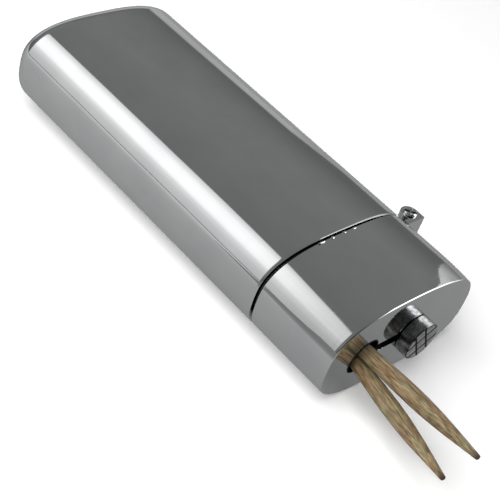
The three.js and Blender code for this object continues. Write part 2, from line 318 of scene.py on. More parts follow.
def unpolished_steel(name, streaks, detail, stops, smoothest, roughest, depth):
    """Steel whose tone, roughness and relief follow one noise. streaks are its lengths in millimetres."""
    material, tree, finish = new_finish(name)
    noise = add(tree, "TexNoise", {"Vector": stretched(tree, *streaks), "Scale": 1, "Detail": detail})
    marks = noise.outputs["Fac"]
    tone = add(tree, "ValToRGB", {"Fac": marks}, stops=[(place, srgb(code)) for place, code in stops])
    rough = add(tree, "MapRange", {"Value": marks, "To Min": smoothest, "To Max": roughest})
    bump = add(tree, "Bump", {"Height": marks, "Strength": 1, "Distance": depth * MM})
    finish.inputs["Metallic"].default_value = 1
    tree.links.new(tone.outputs["Color"], finish.inputs["Base Color"])
    tree.links.new(rough.outputs["Result"], finish.inputs["Roughness"])
    tree.links.new(bump.outputs["Normal"], finish.inputs["Normal"])
    return material


def pierced_edge_and_shade_steel():
    # The bare wall of a punched hole: torn by the punch in steps 0.1 mm apart and never polished. Its
    # near-black tone is painted shade, for the hole's wall and lip and the knob's grooves.
    stops = [(0.35, "#1E1E20"), (0.7, "#4A4A4C")]
    return unpolished_steel("pierced_edge_and_shade_steel", (0.3, 0.1, 0.3), 4, stops, 0.4, 0.6, 0.02)


def drawn_collar_steel():
    # Steel strip drawn through a die: dull satin with lines along the draw, never buffed. The lines are
    # drawn 0.15 mm apart, coarser than real ones, so that they show.
    stops = [(0.3, "#77797B"), (0.75, "#939597")]
    return unpolished_steel("drawn_collar_steel", (0.15, 6, 0.15), 3, stops, 0.22, 0.4, 0.004)


def rolled_spring_steel():
    # Hard rolled strip, as it comes off the mill: even grey with rolling lines. They are drawn 0.1 mm
    # apart, coarser than real ones, so that they show.
    stops = [(0.3, "#7C7E80"), (0.7, "#9FA1A2")]
    return unpolished_steel("rolled_spring_steel", (4, 0.1, 0.1), 3, stops, 0.25, 0.45, 0.003)


def knob_steel(name, dark, light, smoothest, roughest, unevenness):
    """Handled steel: file marks 0.2 mm apart, clouds of grime 0.8 mm wide, a slow unevenness."""
    material, tree, finish = new_finish(name)
    filed, clouded, slow = (0.2, 1.4, 1.4), (0.8, 0.8, 0.8), (1.6, 1.6, 1.6)
    file_marks = add(tree, "TexNoise", {"Vector": stretched(tree, *filed), "Scale": 1, "Detail": 4})
    grime_and_shade = add(tree, "TexNoise", {"Vector": stretched(tree, *clouded), "Scale": 1, "Detail": 5})
    hand = add(tree, "TexNoise", {"Vector": stretched(tree, *slow), "Scale": 1, "Detail": 1})
    stops = [(0.34, srgb(dark)), (0.6, srgb(light))]
    tone = add(tree, "ValToRGB", {"Fac": grime_and_shade.outputs["Fac"]}, stops=stops)
    rough = add(
        tree, "MapRange", {"Value": file_marks.outputs["Fac"], "To Min": smoothest, "To Max": roughest}
    )
    uneven = add(
        tree, "Bump", {"Height": hand.outputs["Fac"], "Strength": 1, "Distance": unevenness * MM}
    )
    marks = scratch(tree, file_marks.outputs["Fac"], 0.0022, uneven)
    finish.inputs["Metallic"].default_value = 1
    tree.links.new(tone.outputs["Color"], finish.inputs["Base Color"])
    tree.links.new(rough.outputs["Result"], finish.inputs["Roughness"])
    tree.links.new(marks.outputs["Normal"], finish.inputs["Normal"])
    return material


def scored_knob_steel():
    # Turned steel, filed by hand across the front and half polished again by the thumb.
    return knob_steel("scored_knob_steel", "#A2A3A4", "#CBCCCD", 0.1, 0.26, 0.05)


def handled_knob_steel():
    # The side of the same turning, never polished: duller, with grime worked into the tool marks.
    return knob_steel("handled_knob_steel", "#5C5D5E", "#ACADAE", 0.2, 0.36, 0.03)


def sanded_birch():
    # Birch, turned and tumbled but not lacquered: dry and greyish tan, with fibres 0.1 mm apart that
    # run the pick's length, flecks 0.24 mm wide, slow reddish and olive bands, and points that are
    # darker from the sharpening. Each pick keeps its own straight coordinates, in millimetres, in the
    # attribute "grain".
    material, tree, finish = new_finish("sanded_birch")
    grain = add(tree, "Attribute", {}, attribute_name="grain").outputs["Vector"]
    fibre_place = add(tree, "Mapping", {"Vector": grain, "Scale": (1 / 0.1, 1 / 3, 1 / 0.1)})
    fleck_place = add(tree, "Mapping", {"Vector": grain, "Scale": (1 / 0.24, 1 / 1.6, 1 / 0.24)})
    band_place = add(tree, "Mapping", {"Vector": grain, "Scale": (1 / 0.8, 1 / 4.5, 1 / 0.8)})
    fibre = add(tree, "TexNoise", {"Vector": fibre_place.outputs["Vector"], "Scale": 1, "Detail": 4})
    fleck = add(tree, "TexNoise", {"Vector": fleck_place.outputs["Vector"], "Scale": 1, "Detail": 5})
    band = add(tree, "TexNoise", {"Vector": band_place.outputs["Vector"], "Scale": 1, "Detail": 2})
    figure = add(
        tree, "Mix", {0: 0.55, 2: fibre.outputs["Fac"], 3: fleck.outputs["Fac"]}, data_type="FLOAT"
    )
    wood = add(
        tree,
        "ValToRGB",
        {"Fac": figure.outputs[0]},
        stops=[(0.36, srgb("#473A2B")), (0.5, srgb("#7B6F56")), (0.64, srgb("#A0967A"))],
    )
    warm = add(
        tree,
        "ValToRGB",
        {"Fac": band.outputs["Fac"]},
        stops=[(0.34, srgb("#F0CDB4")), (0.5, srgb("#F2E6D4")), (0.66, srgb("#F2F4E2"))],
    )
    tinted = add(
        tree,
        "Mix",
        {0: 0.85, 6: wood.outputs["Color"], 7: warm.outputs["Color"]},
        data_type="RGBA",
        blend_type="MULTIPLY",
    )
    along = add(tree, "SeparateXYZ", {"Vector": grain}).outputs["Y"]
    from_middle = add(tree, "Math", {0: along}, operation="ABSOLUTE").outputs["Value"]
    tip = add(
        tree,
        "MapRange",
        {"Value": from_middle, "From Min": 31.2, "From Max": 32.4},
        interpolation_type="SMOOTHSTEP",
    )
    # The tip's brown, and the near-black of the painted shade by the outlet.
    tip_brown, grime_and_shade = srgb("#3E2A1C"), srgb("#2A241C")
    pointed = add(
        tree, "Mix", {0: tip.outputs["Result"], 6: tinted.outputs[2], 7: tip_brown}, data_type="RGBA"
    )
    # Painted shade: within 1 mm of the end face, where the pick goes into the outlet, the wood is painted
    # near-black as the shade inside the hole, where the attribute says so.
    outlet_shade = add(tree, "Attribute", {}, attribute_name="outlet_shade").outputs["Fac"]
    colour = add(
        tree, "Mix", {0: product(tree, outlet_shade, 0.7), 6: pointed.outputs[2], 7: grime_and_shade}, data_type="RGBA"
    )
    bump = add(tree, "Bump", {"Height": figure.outputs[0], "Strength": 1, "Distance": 0.03 * MM})
    tree.links.new(colour.outputs[2], finish.inputs["Base Color"])
    finish.inputs["Roughness"].default_value = 0.62
    tree.links.new(bump.outputs["Normal"], finish.inputs["Normal"])
    return material


MIRROR, PIERCED_AND_SHADE, COLLAR, KNOB, KNOB_SIDE, SPRING, BIRCH = (
    mirror_polished_steel(),
    pierced_edge_and_shade_steel(),
    drawn_collar_steel(),
    scored_knob_steel(),
    handled_knob_steel(),
    rolled_spring_steel(),
    sanded_birch(),
)


def mount(piece, finish, slot, body, *nodes):
    """Gives a finished piece its material and its body, and hides the CAD nodes that it stands for. slot
    is not used.
    """
    piece.data.materials.clear()
    piece.data.materials.append(finish)
    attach(piece, body)
    if nodes:
        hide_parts(*nodes)
    return piece


# Case: one drawn shell, closed at the far end


def case_body():
    inside, inner_edge, rim_edge = SHELL_WALL, 0.05, 0.14
    rings = [
        *edge_rings(CASE_LENGTH, FAR_EDGE, 0, -1, 14),
        oval_ring(CASE_RIM + 0.6, 0),
        oval_ring(CASE_RIM + rim_edge, 0),
        oval_ring(CASE_RIM + rim_edge / 4, rim_edge / 4),
        oval_ring(CASE_RIM, rim_edge),
        oval_ring(CASE_RIM, inside - inner_edge),
        oval_ring(CASE_RIM + inner_edge, inside),
        *reversed(edge_rings(CASE_LENGTH - inside, FAR_EDGE - inside, inside, -1, 8)),
    ]
    piece = oval_outline("case_body", CASE_LENGTH, FAR_EDGE)
    pull(rings)
    face_outwards()
    close_piece()
    smooth_metal(piece)
    return mount(piece, MIRROR, "mirror_steel", "case", "case_shell")


# Head: a short shell of the same section, its flat end cut by the outlet and the slot


def head_shell():
    """The bare shell, with its worn shoulder and its rim out of square, still without holes."""
    inside, inner_edge = SHELL_WALL, 0.05
    side_steps, side_step = 16, 0.4
    rings = [
        *edge_rings(0, FACE_EDGE, 0, 1, 10),
        *[oval_ring(FACE_EDGE + side_step * (step + 1), 0) for step in range(side_steps)],
        oval_ring(HEAD_RIM - RIM_EDGE, 0),
        oval_ring(HEAD_RIM - RIM_EDGE / 4, RIM_EDGE / 4),
        oval_ring(HEAD_RIM, RIM_EDGE),
        oval_ring(HEAD_RIM, inside - inner_edge),
        oval_ring(HEAD_RIM - inner_edge, inside),
        oval_ring(inside + RIM_EDGE, inside),
        oval_ring(inside, inside + RIM_EDGE),
    ]
    piece = oval_outline("head_body", 0, FACE_EDGE)
    pull(rings)
    face_outwards()
    # The buffing wheel has worn the front right shoulder down, most at the edge of the end face.
    for reach in (4.5, 8.6):
        pick_vertices(piece, lambda x, y, z: x > reach and y < FACE_EDGE + 0.01 and z > 3)
        bpy.ops.transform.translate(
            value=Vector((-0.05, 0, -0.13)) * MM,
            use_proportional_edit=True,
            proportional_edit_falloff="SHARP",
            proportional_size=5.5 * MM,
        )
    # The rim is a little out of square, so the seam is open at the free side and closed at the hinge.
    pick_vertices(piece, lambda x, y, z: y > HEAD_RIM - 1)
    rim_at_hinge = at(HALF_WIDTH, HEAD_RIM, 0)
    bpy.ops.transform.rotate(value=math.radians(-0.62), orient_axis="Z", center_override=rim_at_hinge)
    close_piece()
    return piece


def narrow_and_lean(middle, flatness=1):
    """Makes the open piece's circle about middle oblong and leans it, as the outlet is."""
    size = (OUTLET_NARROW / OUTLET_RADIUS, flatness, 1)
    bpy.ops.transform.resize(value=size, center_override=middle)
    bpy.ops.transform.rotate(value=math.radians(OUTLET_LEAN), orient_axis="Y", center_override=middle)


def outlet_lip():
    """The thin lip that the punch raised round the outlet."""
    middle = at(OUTLET_X, 0, OUTLET_Z)
    bpy.ops.object.select_all(action="DESELECT")
    bpy.ops.mesh.primitive_torus_add(
        major_segments=96,
        minor_segments=16,
        major_radius=OUTLET_RADIUS * MM,
        minor_radius=LIP_RADIUS * MM,
        location=middle,
        rotation=(math.pi / 2, 0, 0),
    )
    lip = open_piece("lip")
    narrow_and_lean(middle, LIP_FLATNESS)
    face_outwards()
    close_piece()
    return lip


def keyhole_cutter():
    """The outlet, punched a little oblong and leaning with the two picks, and the slot beside it."""
    front, back = -1, 2
    outlet = round_outline("outlet_cutter", OUTLET_X, front, OUTLET_Z, OUTLET_RADIUS, 96)
    narrow_and_lean(at(OUTLET_X, front, OUTLET_Z))
    pull([(front, 1, 1), (back, 1, 1)], OUTLET_X, OUTLET_Z)
    face_outwards()
    close_piece()
    slot = block(
        "slot_cutter", (OUTLET_X, front, KNOB_Z - HALF_SLOT), (SLOT_END, back, KNOB_Z + HALF_SLOT)
    )
    reopen(slot)
    pick_vertices(slot, lambda x, y, z: x > 0)
    bpy.ops.mesh.select_mode(type="EDGE")
    bpy.ops.object.mode_set(mode="OBJECT")
    for edge in slot.data.edges:
        ends = [slot.data.vertices[i].co for i in edge.vertices]
        edge.select = all(v.x > 0 for v in ends) and abs(ends[0].z - ends[1].z) < MM / 10
    bpy.ops.object.mode_set(mode="EDIT")
    bpy.ops.mesh.bevel(affect="EDGES", offset=(HALF_SLOT - 0.01) * MM, segments=12)
    face_outwards()
    close_piece()
    work_in(outlet, slot, "UNION")
    return outlet


def head_body():
    piece = head_shell()
    work_in(piece, outlet_lip(), "UNION")
    work_in(piece, keyhole_cutter(), "DIFFERENCE")
    reopen(piece)
    ease_sharp_edges(FILED_EDGE, 3, 75)
    close_piece()
    smooth_metal(piece)
    slot_below = KNOB_Z - HALF_SLOT
    burrs = [
        burr("burr", place, size)
        for place, size in [
            ((-4.1, 0, slot_below - 0.1), (0.4, 0.09, 0.24)),
            ((-3.3, 0, slot_below - 0.04), (0.26, 0.07, 0.14)),
            ((-3, HEAD_RIM - 0.36, HALF_THICKNESS - 0.02), (0.4, 0.2, 0.1)),
            ((-0.5, HEAD_RIM - 0.3, HALF_THICKNESS - 0.01), (0.36, 0.18, 0.08)),
            ((1.5, HEAD_RIM - 0.3, HALF_THICKNESS - 0.01), (0.5, 0.16, 0.08)),
            ((-5.2, HEAD_RIM - 0.38, HALF_THICKNESS - 0.03), (0.7, 0.13, 0.07)),
        ]
    ]
    only(piece, *burrs)
    bpy.ops.object.join()
    piece = mount(piece, MIRROR, "mirror_steel", "head", "head_shell")
    piece.data.materials.append(PIERCED_AND_SHADE)
    # The hole's wall and the lip are bare, and their near-black tone is painted shade. The end face
    # itself, at y = 0, stays polished.
    margin, face = 0.16, 0.004
    for polygon in piece.data.polygons:
        x, y, z = polygon.center / MM
        y, z = y + CASE_LENGTH / 2, z - HALF_THICKNESS
        in_outlet = math.hypot(x - OUTLET_X, z - OUTLET_Z) < OUTLET_RADIUS + margin
        in_slot = OUTLET_X < x < SLOT_END + margin and abs(z - KNOB_Z) < HALF_SLOT + margin
        in_wall = face < y < SHELL_WALL and (in_outlet or in_slot)
        if in_wall or (y < -face and in_outlet):
            polygon.material_index = 1
    return piece


# Collar: a liner fixed in the case's mouth


def neck_collar():
    outside, inside, front, back, lead_in = 1.1, 1.7, 10.35, 22.55, 0.3
    rings = [
        oval_ring(front, outside + lead_in),
        oval_ring(front + lead_in, outside),
        oval_ring(back, outside),
        oval_ring(back, inside),
        oval_ring(front, inside),
        oval_ring(front, outside + lead_in),
    ]
    piece = oval_outline("neck_liner", front, outside + lead_in)
    bpy.ops.mesh.delete(type="ONLY_FACE")
    bpy.ops.mesh.select_all(action="SELECT")
    pull(rings)
    face_outwards()
    close_piece()
    smooth_metal(piece)
    return mount(piece, COLLAR, "collar_steel", "case", "neck_collar")


# Hinge


HEAD_KNUCKLE, CASE_KNUCKLE = 1.5, 1.3
LEAF_FRONT, LEAF_BACK = 1.78, 1.34
# How far an arm or a corner stays inside the barrel's side, so that no two faces lie in one plane.
TUCK = 0.001


def knuckle(name, bottom, top, way, radius):
    """A barrel about the pin with an arm to the wall. way is -1 for the head's arm, 1 for the case's."""
    px, py = PIVOT
    arm, in_wall, bore = 0.83, HALF_WIDTH - 0.4, 0.8
    barrel = upright_rod(name, px, py, bottom, top, radius)
    near, far = sorted((py + way * arm, py + way * (radius - TUCK)))
    work_in(barrel, block("arm", (in_wall, near, bottom), (px, far, top)), "UNION")
    if way < 0:
        # The head's knuckles are square in front, and a leaf there ties the two together.
        right = px + radius - TUCK
        work_in(barrel, block("corner", (px, py - LEAF_FRONT, bottom), (right, py, top)), "UNION")
        leaf_top, leaf_bottom = (top, 0) if bottom > 0 else (0, bottom)
        leaf = block("leaf", (in_wall, py - LEAF_FRONT, leaf_bottom), (right, py - LEAF_BACK, leaf_top))
        work_in(barrel, leaf, "UNION")
    work_in(barrel, upright_rod("bore", px, py, bottom - 1, top + 1, bore), "DIFFERENCE")
    reopen(barrel)
    bpy.ops.mesh.select_all(action="SELECT")
    bpy.ops.mesh.remove_doubles(threshold=WELD * MM)
    ease_sharp_edges(0.16, 4, 50)
    close_piece()
    smooth_metal(barrel)
    return barrel


def hinge():
    upper = knuckle("head_knuckle_upper", 1.6, 4.1, -1, HEAD_KNUCKLE)
    mount(upper, MIRROR, "mirror_steel", "head")
    lower = knuckle("head_knuckle_lower", -4.1, -1.6, -1, HEAD_KNUCKLE)
    mount(lower, MIRROR, "mirror_steel", "head")
    mount(knuckle("case_knuckle", -1.4, 1.4, 1, CASE_KNUCKLE), MIRROR, "mirror_steel", "case")
    px, py = PIVOT
    rod_end, pin_end = 4.15, 4.5
    pin = upright_rod("hinge_rod", px, py, -rod_end, rod_end, 0.62)
    for low, high in ((rod_end, pin_end), (-pin_end, -rod_end)):
        work_in(pin, upright_rod("pin_end", px, py, low - 0.02, high, 1.1), "UNION")
    reopen(pin)
    pick_vertices(pin, lambda x, y, z: abs(z) > pin_end - 0.1)
    bpy.ops.mesh.bevel(affect="EDGES", offset=0.28 * MM, segments=6)
    face_outwards()
    close_piece()
    # The pin's upper end is spread by two strokes of a chisel, each a square bar turned onto its edge.
    half_bar = 0.2
    for turn in (33, -51):
        stroke = block("stroke", (-2, -half_bar, -half_bar), (2, half_bar, half_bar))
        carry(
            stroke,
            Matrix.Translation(-at(0, 0, 0)),
            turn_about("X", 45),
            turn_about("Z", turn),
            Matrix.Translation(at(px - 0.15, py - 0.15, pin_end + 0.05)),
        )
        work_in(pin, stroke, "DIFFERENCE")
    smooth_metal(pin)
    mount(pin, MIRROR, "knob_steel", "case", "hinge_pin")


# Slide knob: a turned cap scored twice each way, and its riveted stem


STEM_END = 3.95


def knob_cap(x, front, z, radius):
    """The turned cap with its square stem, about (x, z), filed with two grooves each way."""
    back, small_edge, grip_depth = -0.1, 0.12, 0.3
    cap = round_outline("knob_cap", x, front, z, radius - 0.26, 40)
    rings = [
        (front, radius - 0.26),
        (front + 0.05, radius - small_edge),
        (front + 0.15, radius - 0.03),
        (front + grip_depth, radius),
        (back - small_edge, radius),
        (back, radius - small_edge),
    ]
    pull([(y, size, size) for y, size in rings], x, z)
    face_outwards()
    close_piece()
    near, far = (KNOB_X - 0.7, back - 0.5, KNOB_Z - 0.5), (KNOB_X + 0.7, STEM_END - 0.25, KNOB_Z + 0.5)
    work_in(cap, block("stem", near, far), "UNION")
    # A square bar turned onto its edge files a V. One pair runs at 29 degrees, the other across it.
    half_bar, reach = 0.13, 4.5
    for turn, aside in ((29, -1.13), (29, 0.92), (119, -1.15), (119, 0.68)):
        score = block("score", (-half_bar, front - half_bar, -reach), (half_bar, front + half_bar, reach))
        carry(
            score,
            Matrix.Translation(-at(0, front, 0)),
            turn_about("Z", 45),
            Matrix.Translation(Vector((aside * MM, 0, 0))),
            turn_about("Y", 90 - turn),
            Matrix.Translation(at(x, front, z)),
        )
        work_in(cap, score, "DIFFERENCE")
    reopen(cap)
    ease_sharp_edges(0.02, 2, 60)
    close_piece()
    smooth_metal(cap)
    return cap


def slide_knob():
    # The cap is filed a little smaller than its blank and off its stem's middle, as the photo shows.
    x, front, z, radius = KNOB_X + 0.44, -2.3, KNOB_Z - 0.4, 3.14
    cap = knob_cap(x, front, z, radius)
    wide, narrow = 1.35, 0.81
    rivet = round_outline("rivet", KNOB_X, STEM_END - 0.5, KNOB_Z, wide, 32)
    rings = [(STEM_END - 0.5, wide), (STEM_END - 0.2, 1.2), (STEM_END, narrow)]
    pull([(y, size, size) for y, size in rings], KNOB_X, KNOB_Z)
    face_outwards()
    close_piece()
    smooth_metal(rivet)
    only(cap, rivet)
    bpy.ops.object.join()
    cap = mount(cap, KNOB, "knob_steel", "knob", "slide_knob")
    cap.data.materials.append(PIERCED_AND_SHADE)
    cap.data.materials.append(KNOB_SIDE)
    # The grooves take the near-black pierced finish as painted shade, and the side has its own duller
    # finish.
    for polygon in cap.data.polygons:
        place = polygon.center / MM - at(x, front, z) / MM
        from_axis = math.hypot(place.x, place.z)
        if place.y > 0.1 and from_axis > radius - 0.06:
            polygon.material_index = 2
        in_groove = 0.004 < place.y < 0.2 and from_axis < radius - 0.2
        groove_end = 0.03 < place.y < 0.2 and abs(polygon.normal.y) > 0.6 and from_axis < radius - 0.02
        if in_groove or groove_end:
            polygon.material_index = 1
    return cap


# Toothpicks


PICK_HALF, PICK_RADIUS, PICK_TAPER = 32.5, 1.1, 12
# The two in the outlet are swollen by handling, on the half that stands out.
HANDLED_RADIUS = 1.28


def pick_half(thickest):
    """Rings from the middle of a tip: a blunt point, a long swell, a straight shank."""
    half = [(0, 0.2), (0.04, 0.3), (0.13, 0.36), (0.35, 0.4)]
    blunt_end, blunt_radius = half[-1]
    steps = 12
    for step in range(1, steps + 1):
        share = step / steps
        swell = (thickest - blunt_radius) * math.sin(share * math.pi / 2) ** 1.1
        half.append((blunt_end + share * (PICK_TAPER - blunt_end), blunt_radius + swell))
    waist = [(2, 0.05), (4.5, 0.4), (7, 0.85), (9, 1), (14, 1)]
    return half + [(PICK_TAPER + y, thickest + (PICK_RADIUS - thickest) * share) for y, share in waist]


def straight_pick(thickest):
    """One pick, lying along Y about the world's origin. Its front half, at -Y, swells to thickest."""
    front = [(y - PICK_HALF, radius) for y, radius in pick_half(thickest)]
    back = [(PICK_HALF - y, radius) for y, radius in reversed(pick_half(PICK_RADIUS))]
    profile = front + back
    bpy.ops.object.select_all(action="DESELECT")
    bpy.ops.mesh.primitive_circle_add(
        vertices=32,
        radius=profile[0][1] * MM,
        fill_type="NGON",
        rotation=(math.pi / 2, 0, 0),
        location=(0, profile[0][0] * MM, 0),
    )
    pick = open_piece("pick_pattern")
    for (y, radius), (next_y, next_radius) in zip(profile, profile[1:]):
        bpy.ops.mesh.extrude_region_move(TRANSFORM_OT_translate={"value": (0, (next_y - y) * MM, 0)})
        size = (next_radius / radius, 1, next_radius / radius)
        bpy.ops.transform.resize(value=size, center_override=(0, next_y * MM, 0))
    face_outwards()
    close_piece()
    only(pick)
    bpy.ops.object.shade_smooth_by_angle(angle=math.radians(50))
    return pick


def copy_pick(pattern, name, number, start, along, outside=None):
    """A copy of the pick with its middle at start, lying along a direction, turned and grained in its
    own way. outside is the length that stands out of the outlet, where the wood is painted dark
    as shade inside the hole."""
    pick = pattern.copy()
    pick.data = pattern.data.copy()
    pick.name = pick.data.name = name
    bpy.context.scene.collection.objects.link(pick)
    carry(pick, Matrix.Rotation(2.4 * number, 4, "Y"))
    pick.data.attributes.new("grain", "FLOAT_VECTOR", "POINT")
    pick.data.attributes.new("outlet_shade", "FLOAT", "POINT")
    grain, outlet_shade = (pick.data.attributes[layer].data for layer in ("grain", "outlet_shade"))
    for index, vertex in enumerate(pick.data.vertices):
        x, y, z = vertex.co / MM
        grain[index].vector = (x + 7.3 * number, y, z - 4.1 * number)
        # Painted shade: marks the vertices within 1 mm of the end face.
        outlet_shade[index].value = outside is not None and abs(y + PICK_HALF - outside) < 1
    heading = Vector((0, -1, 0)).rotation_difference(along).to_matrix().to_4x4()
    carry(pick, Matrix.Translation(start) @ heading)
    return pick


def lean(left, up):
    """The way that a pick points when it leans to the left and up by so many degrees."""
    return Vector((-math.tan(math.radians(left)), -1, math.tan(math.radians(up)))).normalized()


def toothpicks():
    handled, plain = straight_pick(HANDLED_RADIUS), straight_pick(PICK_RADIUS)
    # Each one's place in the outlet, the length that stands out, and its lean to the left and up. The
    # right one lies against the left one there.
    in_outlet = [
        ("toothpick_right", "pick_right", -0.09, 1.13, 20.85, 1.2, 2.1),
        ("toothpick_left", "pick_left", -0.35, -1.3, 20.3, 12.996, 1.89),
    ]
    for number, (name, body, across, up, out, left_lean, up_lean) in enumerate(in_outlet):
        outward = lean(left_lean, up_lean)
        start = at(OUTLET_X + across, 0, OUTLET_Z + up) + outward * (out - PICK_HALF) * MM
        pick = copy_pick(handled, name.replace("toothpick", "birch_pick"), number, start, outward, out)
        mount(pick, BIRCH, "birch_wood", body, name)
    stored = [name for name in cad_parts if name.startswith("toothpick_stored")]
    for number, name in enumerate(sorted(stored), len(in_outlet)):
        low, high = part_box(name)
        middle, forward = (low + high) / 2, Vector((0, -1, 0))
        pick = copy_pick(plain, name.replace("toothpick", "birch_pick"), number, middle, forward)
        mount(pick, BIRCH, "birch_wood", "case", name)
    for pattern in (handled, plain):
        bpy.data.objects.remove(pattern)


case_body()
head_body()
neck_collar()
hinge()
slide_knob()
toothpicks()
for name in ("retaining_plate", "bowed_spring", "stem_washer"):
    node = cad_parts[name]
    node.data.materials.clear()
    node.data.materials.append(SPRING)


# Stage: a pale table, and what the polished steel mirrors: a curved white cloth overhead and to the
# left, a white panel at the front right, a grey board and a dark blade of card that glow only for the
# steel as painted reflections, and a grey room


def matt_board():
    # Matt white acrylic, lit faintly from below: near-white with a trace of tooth, no gloss.
    material, tree, finish = new_finish("matt_white_board")
    tooth = add(tree, "TexNoise", {"Vector": stretched(tree, 1.5, 1.5, 1.5), "Scale": 1, "Detail": 3})
    tone = add(
        tree,
        "ValToRGB",
        {"Fac": tooth.outputs["Fac"]},
        stops=[(0.3, srgb("#FAFAFA")), (0.7, srgb("#FDFDFD"))],
    )
    tree.links.new(tone.outputs["Color"], finish.inputs["Base Color"])
    finish.inputs["Roughness"].default_value = 0.9
    finish.inputs["Specular IOR Level"].default_value = 0.1
    finish.inputs["Emission Color"].default_value = grey(1)
    finish.inputs["Emission Strength"].default_value = 0.1
    return material


bpy.ops.object.select_all(action="DESELECT")
bpy.ops.mesh.primitive_plane_add(size=8)
table = bpy.context.object
table.name = "table"
table.data.materials.append(matt_board())


def glowing(name, strength_of):
    """A glowing white sheet: a cloth lit from behind, and on the board and the blade a painted glow.
    strength_of adds the nodes that give its strength.
    """
    material = bpy.data.materials.new(name)
    material.use_nodes = True
    tree = material.node_tree
    tree.nodes.remove(tree.nodes["Principled BSDF"])
    cloth = add(tree, "Emission", {"Color": grey(1), "Strength": strength_of(tree)})
    tree.links.new(cloth.outputs["Emission"], tree.nodes["Material Output"].inputs["Surface"])
    return material


# The cloth ends at this share of a quarter turn, and at this Y in metres. Past it the room shows.
SWEEP_RIGHT, SWEEP_NEAR, SWEEP_FAR = 0.992, 0.3, 1.2
ROOM_OVERHEAD = 0.19


def place_of(tree):
    """The object coordinates as three outputs, in metres."""
    return add(tree, "SeparateXYZ", {"Vector": add(tree, "TexCoord", {}).outputs["Object"]}).outputs


def sweep_strength(tree):
    """Brightest overhead left, fading to the left horizon and the near end, its near corner rounded."""
    place = place_of(tree)
    left = product(tree, place["X"], -1)
    height = add(tree, "Math", {0: place["Z"], 1: left}, operation="ARCTAN2").outputs["Value"]
    quarter = add(tree, "Math", {0: height, 1: math.pi / 2}, operation="DIVIDE").outputs["Value"]
    down = add(
        tree,
        "ValToRGB",
        {"Fac": quarter},
        stops=[
            (0, grey(0.45)),
            (0.28, grey(0.53)),
            (0.45, grey(0.68)),
            (0.56, grey(0.95)),
            (0.7, grey(1)),
            (0.85, grey(0.93)),
            (0.93, grey(0.72)),
            (0.99, grey(0.56)),
        ],
    )
    fading_from = add(
        tree,
        "MapRange",
        {"Value": quarter, "From Min": 0.35, "From Max": 0.6, "To Min": -0.15, "To Max": 0.11},
    ).outputs["Result"]
    near = add(
        tree,
        "MapRange",
        {"Value": place["Y"], "From Min": fading_from, "From Max": 0.48, "To Min": 0, "To Max": 1.5},
    )
    to_right = add(
        tree, "MapRange", {"Value": quarter, "From Min": SWEEP_RIGHT - 0.21, "From Max": SWEEP_RIGHT}
    )
    to_near = add(
        tree, "MapRange", {"Value": place["Y"], "From Min": SWEEP_NEAR + 0.25, "From Max": SWEEP_NEAR}
    )
    corner = add(tree, "CombineXYZ", {"X": to_right.outputs["Result"], "Y": to_near.outputs["Result"]})
    past = add(tree, "VectorMath", {0: corner.outputs["Vector"]}, operation="LENGTH").outputs["Value"]
    inside = add(
        tree, "MapRange", {"Value": past, "From Min": 0.93, "From Max": 1, "To Min": 1, "To Max": 0}
    ).outputs["Result"]
    cloth = product(tree, down.outputs["Color"], near.outputs["Result"])
    mixed = add(tree, "Mix", {0: inside, 2: ROOM_OVERHEAD, 3: cloth}, data_type="FLOAT")
    return mixed.outputs[0]


bpy.ops.object.select_all(action="DESELECT")
bpy.ops.mesh.primitive_circle_add(vertices=180, radius=1, rotation=(math.pi / 2, 0, 0))
sweep = open_piece("sweep")
bpy.ops.mesh.select_all(action="DESELECT")
bpy.ops.mesh.select_mode(type="VERT")
bpy.ops.object.mode_set(mode="OBJECT")
for vertex in sweep.data.vertices:
    angle = math.degrees(math.atan2(vertex.co.z, vertex.co.x)) % 360
    vertex.select = not 89.9 < angle < 179.1
bpy.ops.object.mode_set(mode="EDIT")
bpy.ops.mesh.delete(type="VERT")
bpy.ops.mesh.select_all(action="SELECT")
bpy.ops.transform.translate(value=(0, SWEEP_NEAR, 0))
bpy.ops.mesh.extrude_region_move(TRANSFORM_OT_translate={"value": (0, SWEEP_FAR - SWEEP_NEAR, 0)})
close_piece()
sweep.data.materials.append(glowing("sweep_cloth", sweep_strength))
sweep.visible_camera = False

PANEL_MIDDLE, PANEL_HEIGHT, PANEL_LENGTH = (0.8, -0.535, 0.57), 1.1, 1.5
PANEL_GLOW = 4.3


def panel_strength(tree):
    """Brightest at half its length, and fading towards both ends and the table."""
    place = place_of(tree)
    far_end, near_end = (PANEL_MIDDLE[1] + way * PANEL_LENGTH / 2 for way in (1, -1))
    nearer = add(tree, "MapRange", {"Value": place["Y"], "From Min": far_end, "From Max": near_end})
    along = add(
        tree,
        "ValToRGB",
        {"Fac": nearer.outputs["Result"]},
        stops=[
            (0, grey(0.17)),
            (0.14, grey(0.24)),
            (0.34, grey(0.8)),
            (0.5, grey(1)),
            (0.66, grey(0.45)),
            (1, grey(0.12)),
        ],
    )
    up = add(
        tree,
        "ValToRGB",
        {"Fac": place["Z"]},
        stops=[
            (0.03, grey(0.3)),
            (0.13, grey(0.38)),
            (0.22, grey(0.56)),
            (0.32, grey(0.85)),
            (0.42, grey(1)),
        ],
    )
    return product(tree, product(tree, along.outputs["Color"], up.outputs["Color"]), PANEL_GLOW)


bpy.ops.object.select_all(action="DESELECT")
bpy.ops.mesh.primitive_plane_add(size=1, location=PANEL_MIDDLE, rotation=(0, -math.pi / 2, 0))
bpy.context.object.scale = (PANEL_HEIGHT, PANEL_LENGTH, 1)
panel = open_piece("front_panel")
close_piece()
panel.data.materials.append(glowing("panel_cloth", panel_strength))
panel.visible_diffuse = panel.visible_camera = False


def only_mirrored(piece):
    piece.visible_diffuse = piece.visible_camera = piece.visible_shadow = False


